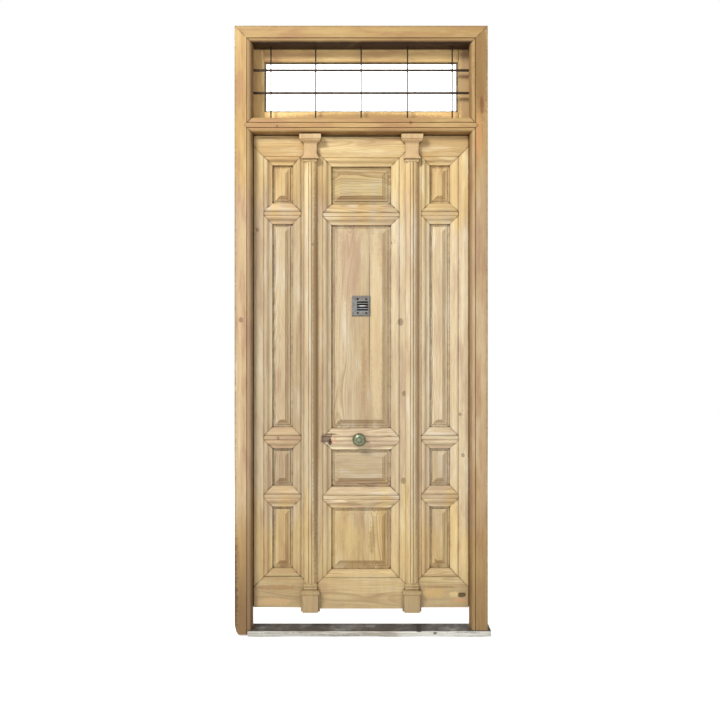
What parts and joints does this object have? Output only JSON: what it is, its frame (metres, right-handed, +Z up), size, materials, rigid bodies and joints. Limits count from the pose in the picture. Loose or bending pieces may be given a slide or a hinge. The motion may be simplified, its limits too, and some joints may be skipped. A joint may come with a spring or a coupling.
{
  "type": "panelled front door",
  "caption": "Tall old pine front door in its frame: panelled leaves with moulded rails and pilasters, a barred fanlight above and a weathered threshold.",
  "frame": {"origin": "middle of the underside of the threshold, at half the depth of the frame", "axes": "+X to the right seen from the street, +Y into the house, +Z up"},
  "size_m": [1.282, 0.1441, 3.054],
  "materials": {
    "leaf_pine": "matt old pine",
    "frame_pine": "matt old pine",
    "sash_pine": "dull old pine",
    "weathered_board": "weathered grey",
    "iron": "dull rusty black",
    "grille_metal": "worn grey",
    "bronze": "green-brown patina",
    "glass": "clear"
  },
  "bodies": {
    "frame": {"threshold": "weathered_board", "jamb_left": "frame_pine", "jamb_right": "frame_pine", "head": "frame_pine", "transom": "frame_pine", "transom_pegs": "frame_pine", "fanlight_crossbars": "iron", "fanlight_uprights": "iron", "sash_stiles": "sash_pine", "sash_rails": "sash_pine", "fanlight_glass": "glass", "jamb_hinge_flaps": "iron", "jamb_hinge_pins": "iron", "left_leaf_left_stile": "leaf_pine", "left_leaf_right_stile": "leaf_pine", "left_leaf_bottom_rail": "leaf_pine", "left_leaf_top_rail": "leaf_pine", "left_leaf_cross_rails": "leaf_pine", "left_leaf_bottom_panel": "leaf_pine", "left_leaf_small_panel": "leaf_pine", "left_leaf_long_panel": "leaf_pine", "left_leaf_top_panel": "leaf_pine", "left_pilaster_capital": "leaf_pine", "left_pilaster_shaft": "leaf_pine", "left_pilaster_base": "leaf_pine", "left_leaf_hinge_flaps": "iron", "bolt_keeper": "iron"},
    "right_leaf": {"right_leaf_left_stile": "leaf_pine", "right_leaf_right_stile": "leaf_pine", "right_leaf_bottom_rail": "leaf_pine", "right_leaf_top_rail": "leaf_pine", "right_leaf_cross_rails": "leaf_pine", "right_leaf_bottom_panel": "leaf_pine", "right_leaf_small_panel": "leaf_pine", "right_leaf_long_panel": "leaf_pine", "right_leaf_top_panel": "leaf_pine", "right_pilaster_capital": "leaf_pine", "right_pilaster_shaft": "leaf_pine", "right_pilaster_base": "leaf_pine", "right_leaf_hinge_flaps": "iron", "centre_hinge_pins": "iron"},
    "centre_leaf": {"centre_leaf_left_stile": "leaf_pine", "centre_leaf_right_stile": "leaf_pine", "centre_leaf_bottom_rail": "leaf_pine", "centre_leaf_top_rail": "leaf_pine", "centre_leaf_lower_rail": "leaf_pine", "centre_leaf_lock_rail": "leaf_pine", "centre_leaf_upper_rail": "leaf_pine", "centre_leaf_bottom_panel": "leaf_pine", "centre_leaf_small_panel": "leaf_pine", "centre_leaf_long_panel": "leaf_pine", "centre_leaf_top_panel": "leaf_pine", "knob": "bronze", "peephole_grille": "grille_metal", "shutter_screw": "iron", "bolt_plate": "iron", "centre_leaf_hinge_flaps": "iron"},
    "peephole_shutter": {"peephole_shutter": "iron"},
    "barrel_bolt": {"barrel_bolt": "iron"}
  },
  "joints": [
    {"name": "right_leaf_swing", "type": "hinge", "parent": "frame", "child": "right_leaf", "pos_m": [0.558, 0.057, 0], "axis": [0, 0, -1], "range_deg": [0, 90]},
    {"name": "centre_leaf_swing", "type": "hinge", "parent": "right_leaf", "child": "centre_leaf", "pos_m": [0.256, 0.057, 0], "axis": [0, 0, -1], "range_deg": [0, 100]},
    {"name": "shutter_swing", "type": "hinge", "parent": "centre_leaf", "child": "peephole_shutter", "pos_m": [0.007, 0.032, 1.699], "axis": [0, 1, 0], "range_deg": [-110, 110]},
    {"name": "bolt_slide", "type": "slide", "parent": "centre_leaf", "child": "barrel_bolt", "axis": [-1, 0, 0], "range_m": [0, 0.032]}
  ]
}
